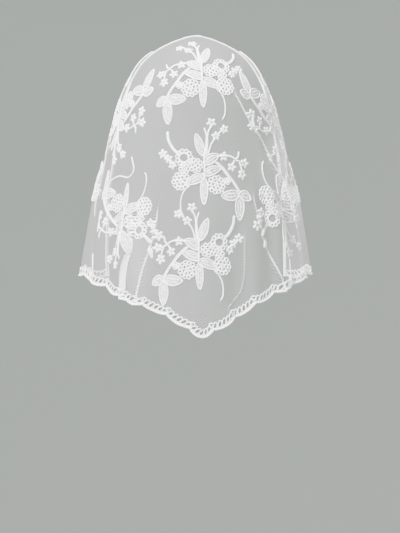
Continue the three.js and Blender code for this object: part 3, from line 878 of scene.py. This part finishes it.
# branch, place across and up, and radius
STARS = [
    ("top", 8.4, 49.5, 5.6), ("top", 23.5, 42.5, 5.2), ("top", 13.4, 34.7, 5.2),
    ("left", -46, 15.5, 5.4), ("left", -39.5, 10, 5), ("left", -35, 3, 4.8),
    ("right", 22.5, 12.3, 5.4), ("right", 31.4, 1.1, 5.2), ("right", 47, 5.6, 5.4),
    ("right", 43.7, -6.7, 5.6),
]
# branch, radius of the cord, and the points that it passes
STEMS = [
    ("core", 1.1, [(-0.5, 16), (0.5, 8), (0.5, -2), (0.5, -12)]),
    ("top", 0.85, [(1.2, 13), (2.4, 26), (2.8, 36), (0.2, 44)]),
    ("top", 0.85, [(2.8, 13), (3.8, 26), (4.4, 38), (8, 46)]),
    ("top", 0.8, [(4.2, 14), (8, 26), (12, 32)]), ("top", 0.8, [(15, 37), (19, 40), (23, 42)]),
    ("left", 0.8, [(-41.2, 40), (-39.8, 30), (-34.5, 20.3), (-27.8, 14.4)]),
    ("left", 0.8, [(-40, 40.4), (-38.6, 30.4), (-33.4, 21.2), (-26.9, 15.6)]),
    ("left", 0.85, [(-31, 4), (-38, 8), (-45, 14)]),
    ("right", 0.9, [(13, 12), (22, 13), (30, 12.5), (35, 10), (38.5, 12), (39.6, 18)]),
    ("right", 0.9, [(35, 9), (39, 7.5), (44, 6)]), ("right", 0.85, [(40, 7), (42, 1), (43, -4)]),
    ("right", 0.8, [(34.5, 9), (33, 5), (31.4, 2)]),
    ("trio", 0.75, [(12, 6), (20, -1), (28, -11), (33.5, -17), (40, -26)]),
    ("trio", 0.75, [(13.3, 6.7), (21.2, 0), (29.2, -10), (34.7, -16.2), (41.1, -25.3)]),
    ("tendril", 0.7, [(-16, -20), (-22.4, -26), (-26, -36), (-26, -47), (-23, -53)]),
]
BRANCHES = ["core", "top", "left", "right", "trio", "tendril"]
print("one spray:", len(LEAVES), "leaves,", len(WHEELS), "wheels,", len(STARS), "stars,", len(STEMS), "stems")

# %% The flat spray


def make_spray(branches, mirror, turn):
    """The flat spray: points, faces, the material of each face and the painted shade of each point."""
    work = Work()
    for branch, base, tip, width, bend in LEAVES:
        if branch in branches:
            leaf(work, base, tip, width, bend)
    for branch, x, y, radius, open_middle in WHEELS:
        if branch in branches:
            wheel(work, x, y, radius, open_middle)
    for branch, x, y, radius in STARS:
        if branch in branches:
            blossom(work, x, y, radius)
    for branch, radius, path in STEMS:
        if branch in branches:
            cord(work, smooth_path(path), radius, taper=True)
    flat, quads = work.arrays()
    flat = flat * (mirror, 1, 1)
    if mirror < 0:
        quads = quads[:, ::-1]
    swing = np.radians(turn)
    across = flat[:, 0] * np.cos(swing) - flat[:, 1] * np.sin(swing)
    up = flat[:, 0] * np.sin(swing) + flat[:, 1] * np.cos(swing)
    flat = np.stack([across, up, flat[:, 2]], -1)
    return flat, quads, np.concatenate(work.finishes), np.concatenate(work.painted_shades)


print("flat spray:", len(make_spray(BRANCHES, 1, 0)[0]), "points")

# %% [markdown]
# ## From flat to worn
# Flat needlework could be projected on the veil, but that would stretch it on the sides of the dome.
# Instead each place is found by walking over the cloth from the middle of the spray, so lengths stay true.
# The walk is made to a coarse grid of places, and the many points of the stitches are read between them.

# %% Laying flat work on the cloth
WALK_STEPS = 10
LAY_STEP = 3
LAY_MARGIN = 1


def walk(angle, run, across, up):
    """Angles and runs reached by walking over the cloth from one place, as flat cloth lies on it."""
    normal = outward(angle, run)
    level = np.array([np.cos(angle), np.sin(angle), 0.0])
    east = unit(level - normal * (level @ normal))
    north = np.cross(normal, east)
    length = np.hypot(across, up)[..., None]
    heading = unit(east * across[..., None] + north * up[..., None])
    point = np.broadcast_to(underside(angle, run), heading.shape)
    for _ in range(WALK_STEPS):
        place = locate(point + heading * length / WALK_STEPS)
        point = underside(*place)
        facing = outward(*place)
        heading = unit(heading - facing * (heading * facing).sum(-1, keepdims=True))
    return place


def lay_flat_work(flat, angle, run, lift):
    """Lays flat needlework on the cloth: walks to a coarse grid of places and reads between them."""
    low = flat[:, :2].min(0) - LAY_MARGIN
    high = flat[:, :2].max(0) + LAY_MARGIN
    counts = np.ceil((high - low) / LAY_STEP).astype(int) + 1
    axes = [np.linspace(low[k], high[k], counts[k]) for k in (0, 1)]
    across, up = np.meshgrid(*axes, indexing="ij")
    angles, runs = walk(angle, run, across, up)
    spot = (flat[:, :2] - low) / (high - low) * (counts - 1)
    i = np.clip(spot.astype(int), 0, counts - 2)
    share = spot - i

    def between(values):
        row, column = i[:, 0], i[:, 1]
        near = values[row, column] * (1 - share[:, 0]) + values[row + 1, column] * share[:, 0]
        far = values[row, column + 1] * (1 - share[:, 0]) + values[row + 1, column + 1] * share[:, 0]
        return near * (1 - share[:, 1]) + far * share[:, 1]

    return on_cloth(between(angles), between(runs), lift + flat[:, 2])


middle = lay_flat_work(np.zeros((2, 3)), 0.0, 200.0, 0.0)[0]
print("a point laid 200 mm down from the crown:", np.round(middle).tolist(), "mm")

# %% [markdown]
# ## The sprays on the veil
# The sprays lie where their CAD reliefs lie. On the real net they stand in columns, each column turned
# against its neighbours. They could be drawn one by one, but they are one design, so a table gives the
# place, the turn and the mirroring of each.

# %% Sprays
SPRAY_LIFT = 0.55
SIDE = ["core", "top"]
# CAD node, angle and run of the middle, turn, mirroring and branches
SPRAYS = [
    ("spray_back_upper", 4.5, 98, 0, -1, BRANCHES),
    ("spray_back_middle", 5, 200, 0, 1, BRANCHES),
    ("spray_back_lower", 2, 293, 0, -1, BRANCHES),
    ("spray_left_upper", -65, 143, 180, -1, BRANCHES),
    ("spray_left_lower", -44, 257, 180, 1, BRANCHES),
    ("spray_right_upper", 66, 146, 180, 1, BRANCHES),
    ("spray_right_lower", 58, 244, 180, -1, BRANCHES),
    ("spray_left_side", -94.5, 212, 0, -1, SIDE),
    ("spray_right_side", 100, 208, 10, 1, SIDE),
    ("sprig_left_front", -112, 58, 0, 1, ["trio"]),
    ("sprig_right_front", 112, 58, 0, -1, ["trio"]),
]
stitched = []
for name, angle, run, turn, mirror, branches in SPRAYS:
    flat, quads, finishes, painted_shades = make_spray(branches, mirror, turn)
    laid = lay_flat_work(flat, np.radians(angle), float(run), SPRAY_LIFT)
    # each point carries its painted shade as a mark for the thread material
    spray = make_object(
        "embroidered_" + name, laid, quads, [satin_thread, lace_cord], finishes, marks={"painted_shade": painted_shades},
    )
    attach(spray, "root")
    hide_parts(name)
    stitched.append(spray)
print("sprays:", len(stitched), "with", sum(len(s.data.polygons) for s in stitched), "faces")

# %% Loose tendrils between the sprays
TENDRIL_CORD = 0.7
# the angle and run of a middle place, then points across and up from it
TENDRILS = {
    "left_curl": (-52, 212, [(15.9, 25), (22.4, 10), (15.1, 2), (-2.1, 3.3), (-16.1, -5), (-18.7, -20),
                             (-16.6, -35)]),
    "left_strand": (-67, 308, [(-11, 14), (-4, 7), (0.5, 0), (1.5, -12)]),
    "right_strand": (61, 310, [(0.8, 10), (-0.3, 0), (0, -12)]),
}
for name, (angle, run, path) in TENDRILS.items():
    tendril = Work()
    cord(tendril, smooth_path(path), TENDRIL_CORD)
    flat, quads = tendril.arrays()
    laid = lay_flat_work(flat, np.radians(angle), float(run), SPRAY_LIFT)
    strand = make_object("tendril_" + name, laid, quads, [lace_cord])
    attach(strand, "root")
print("tendrils:", len(TENDRILS))

# %% [markdown]
# ## The scalloped border
# The hem is finished with a ladder lace: two cords along each scallop, slanting links of cord that reach to
# the net, and a ring at each notch. It could be one cut strip, as the CAD node is, but its look comes from
# the round cords, so here each is a cord of its own, laid along the hem.

# %% Places along the hem
PITCH = 29.5
TIP_ANGLE = 3.0
END_CLEARANCE = 5.4
HEM_BEYOND = 6
HEM_STEP = 0.25
LOOK_AHEAD = 1.5


def measured_path(angle, run):
    points = underside(angle, run)
    length = np.concatenate([[0], np.cumsum(np.linalg.norm(np.diff(points, axis=0), axis=1))])
    return {"angle": angle, "points": points, "length": length}


def at_length(path, along):
    return np.stack([np.interp(along, path["length"], path["points"][:, k]) for k in range(3)], -1)


def beside_path(path, flat, lift):
    """Lays points, given along a path and out to its right, on the cloth."""
    along, out = flat[:, 0], flat[:, 1]
    point = at_length(path, along)
    heading = at_length(path, along + LOOK_AHEAD) - at_length(path, along - LOOK_AHEAD)
    side = unit(np.cross(unit(heading), outward(*locate(point))))
    return on_cloth(*locate(point + side * out[:, None]), lift + flat[:, 2])


hem_end = CORNER_ANGLE + HEM_BEYOND
hem_angle = np.radians(np.arange(-hem_end, hem_end + HEM_STEP / 2, HEM_STEP))
hem_angle = hem_angle[np.abs(hem_angle) <= front_angle(hem_run(hem_angle))]
hem = measured_path(hem_angle, hem_run(hem_angle))
tip = float(np.interp(np.radians(TIP_ANGLE), hem["angle"], hem["length"]))
notches = []
for side in (-1, 1):
    reach = (tip if side < 0 else hem["length"][-1] - tip) - END_CLEARANCE
    count = round(reach / PITCH - 0.5)
    notches += [tip + side * (k + 0.5) * reach / (count + 0.5) for k in range(count + 1)]
notches = sorted(notches)
print("hem:", round(float(hem["length"][-1])), "mm long with", len(notches), "notches")

# %% Border
BORDER_LIFT = 0.7
DEPTH = 7.8
# how far the outer edge and the inner ends of the links bulge in a scallop, and how full the edge is
LOBE_RISE, INNER_RISE = 3.4, 1.2
FULLNESS = 0.7
# the two cords of the edge: how far inside the edge they lie, and their radius
EDGE_INSIDE, EDGE_CORD = 0.75, 0.95
SECOND_INSIDE, SECOND_CORD = 2.1, 0.6
EDGE_STEPS, EDGE_LAP, EDGE_LIFT = 33, 0.04, 0.5
# the slanting links: how many, where they stand, their ends, half-width, slant and cord
LINKS = 5
LINK_START, LINK_SPARE = 0.72, 0.35
LINK_TOP, LINK_BOTTOM = 0.8, 2.3
LINK_HALF, LINK_SLANT, LINK_CORD, LINK_LIFT = 0.43, 1.5, 0.55, 0.2
LINK_POINTS = 16
# the ring at each notch: its place, radius, cord and lift
RING_ALONG, RING_INSIDE, RING_RADIUS, RING_CORD, RING_LIFT = 0.4, 1.9, 2.4, 0.6, 0.6
RING_POINTS = 14


def lobe(share, rise, fullness):
    return rise * np.abs(np.sin(np.pi * share)) ** fullness


def border_scallop(work, start, end):
    """One scallop between two notches: a heavy edge, slanting links of cord and a ring at the notch."""
    width = end - start
    share = np.linspace(-EDGE_LAP, 1 + EDGE_LAP, EDGE_STEPS)
    outer = lobe(np.clip(share, 0, 1), LOBE_RISE, FULLNESS)
    along = start + share * width
    cord(work, np.stack([along, outer - EDGE_INSIDE], -1), EDGE_CORD, rise=EDGE_LIFT * share[:, None])
    cord(work, np.stack([along, outer - SECOND_INSIDE], -1), SECOND_CORD)
    turn = np.arange(LINK_POINTS) / LINK_POINTS * 2 * np.pi
    for k in range(LINKS):
        middle = (k + LINK_START) / (LINKS + LINK_SPARE)
        top = float(lobe(middle, INNER_RISE, 1)) - DEPTH + LINK_TOP
        bottom = float(lobe(middle, LOBE_RISE, FULLNESS)) - LINK_BOTTOM
        link = np.stack([
            start + middle * width + width / LINKS * LINK_HALF * np.cos(turn) - LINK_SLANT * np.sin(turn),
            (top + bottom) / 2 + (bottom - top) / 2 * np.sin(turn),
        ], -1)
        cord(work, link, LINK_CORD, rise=LINK_LIFT * (k % 2), closed=True)
    ring = ring_path(start + RING_ALONG, -DEPTH + RING_INSIDE, RING_RADIUS, RING_POINTS)
    cord(work, ring, RING_CORD, rise=RING_LIFT, closed=True)


border = Work()
for start, end in zip(notches, notches[1:]):
    border_scallop(border, start, end)
flat, quads = border.arrays()
laid = beside_path(hem, flat, BORDER_LIFT)
border_object = make_object("corded_scallop_border", laid, quads, [lace_cord])
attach(border_object, "root")
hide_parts("scalloped_border")
print("border:", len(notches) - 1, "scallops,", len(quads), "faces")

# %% [markdown]
# ## The front binding
# The straight front edge is bound with a narrow tape, so that the net does not fray. The tape is a low flat
# band with a corded roll along each side. It could be one swept section, but the rolls then would not show
# their own twist.

# %% Binding
BINDING_LIFT = 0.6
# how finely the edge is measured: below and above the run where it turns over the crown
OVER_CROWN = 60
STEPS_BELOW, STEPS_ABOVE = 120, 90
TAPE_STEPS = 330
# the two rolls: how far out from the edge of the net, and radius
TAPE_ROLLS = [(-0.4, 0.95), (2.7, 0.75)]
# the band between them: its two sides, its height, and the height and pace of its weave
BAND_SIDES, BAND_COLUMNS = (-0.2, 2.6), 5
BAND_HEIGHT, WEAVE_HEIGHT, WEAVE_PACE = 0.55, 0.12, 4

hem_corner = float(hem_run(np.radians(CORNER_ANGLE)))
front_run = np.concatenate([
    np.linspace(hem_corner, OVER_CROWN, STEPS_BELOW)[:-1],
    FRONT_REACH + (OVER_CROWN - FRONT_REACH) * np.linspace(1, 0, STEPS_ABOVE) ** 2,
])
front = front_angle(front_run)
front_path = measured_path(
    np.concatenate([-front[:-1], [np.pi], front[:-1][::-1]]),
    np.concatenate([front_run[:-1], [FRONT_REACH], front_run[:-1][::-1]]),
)
binding = Work()
total = front_path["length"][-1]
along = np.linspace(0, total, TAPE_STEPS)
for out, radius in TAPE_ROLLS:
    cord(binding, np.stack([along, np.full(along.shape, out)], -1), radius)
across = np.linspace(*BAND_SIDES, BAND_COLUMNS)
weave = BAND_HEIGHT + WEAVE_HEIGHT * np.sin(along * WEAVE_PACE)
binding.grid(np.stack(np.broadcast_arrays(along[:, None], across, weave[:, None]), -1))
flat, quads = binding.arrays()
laid = beside_path(front_path, flat, BINDING_LIFT)
binding_object = make_object("front_edge_binding", laid, quads, [edge_tape])
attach(binding_object, "root")
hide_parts("front_binding")
print("binding:", round(total), "mm long")

# %% [markdown]
# ## The cut of the cloth
# The sheet has a wide cut with a straight front edge and a pointed, curved back. The front edge is as
# long as the binding, and the depth is the way from that edge over the crown to the point of the hem.

# %% [markdown]
# ## Room and light
# A studio lights such a piece before plain paper, with one broad soft light. Two flat walls could stand
# behind it, but a round paper sweep gives floor and wall in one from every side. Its pale grey-green lets
# the white thread stand out, and large lamps give soft shadows, so the thread keeps its modelling.

# %% Floor and backdrop, in metres
FLOOR_HEIGHT = -2.6
ROOM_RADIUS = 7.0
SWEEP_RADIUS = 1.5
WALL_TOP = 2.0
FLOOR_INNER, FLOOR_MIDDLE = 0.01, 3
SWEEP_STEPS, ROUND_STEPS = 13, 96
paper = new_material("pale_grey_paper")
finish_material(paper, {"Base Color": linear("#B9BFBA"), "Roughness": 0.9}, {})
bend = np.linspace(0, np.pi / 2, SWEEP_STEPS)
sweep_out = ROOM_RADIUS - SWEEP_RADIUS * (1 - np.sin(bend))
sweep_up = FLOOR_HEIGHT + SWEEP_RADIUS * (1 - np.cos(bend))
reach = np.concatenate([[FLOOR_INNER, FLOOR_MIDDLE], sweep_out, [ROOM_RADIUS]])
level = np.concatenate([[FLOOR_HEIGHT, FLOOR_HEIGHT], sweep_up, [WALL_TOP]])
turn = np.arange(ROUND_STEPS) / ROUND_STEPS * 2 * np.pi
round_room = np.stack(np.broadcast_arrays(
    reach[:, None] * np.sin(turn), -reach[:, None] * np.cos(turn), level[:, None]), -1)
room = Work()
room.grid(round_room / MM, wrap_columns=True)
points, quads = room.arrays()
backdrop = make_object("backdrop", points, quads, [paper])
print("backdrop:", len(quads), "faces")

# %% Lamps and world
LAMP_TARGET = (0, 0, -0.15)
# place and size in metres, power in watts
LAMPS = {
    "key": ((-1.1, -1.3, 1.3), 0.6, 420),
    "fill": ((1.7, -1.6, 0.3), 1.5, 55),
    "top": ((0.2, 0.4, 1.9), 1.2, 160),
}
WORLD_STRENGTH = 0.6


def soft_lamp(name, place, size, power):
    data = bpy.data.lights.new(name, "AREA")
    data.shape = "SQUARE"
    data.size = size
    data.energy = power
    lamp = bpy.data.objects.new(name, data)
    bpy.context.scene.collection.objects.link(lamp)
    aim(lamp, place, LAMP_TARGET)


for name, (place, size, power) in LAMPS.items():
    soft_lamp(name, place, size, power)
world = bpy.data.worlds.new("studio")
world.use_nodes = True
world.node_tree.nodes["Background"].inputs[0].default_value = linear("#E6E8E6")
world.node_tree.nodes["Background"].inputs[1].default_value = WORLD_STRENGTH
bpy.context.scene.world = world
print("lamps:", len(LAMPS))
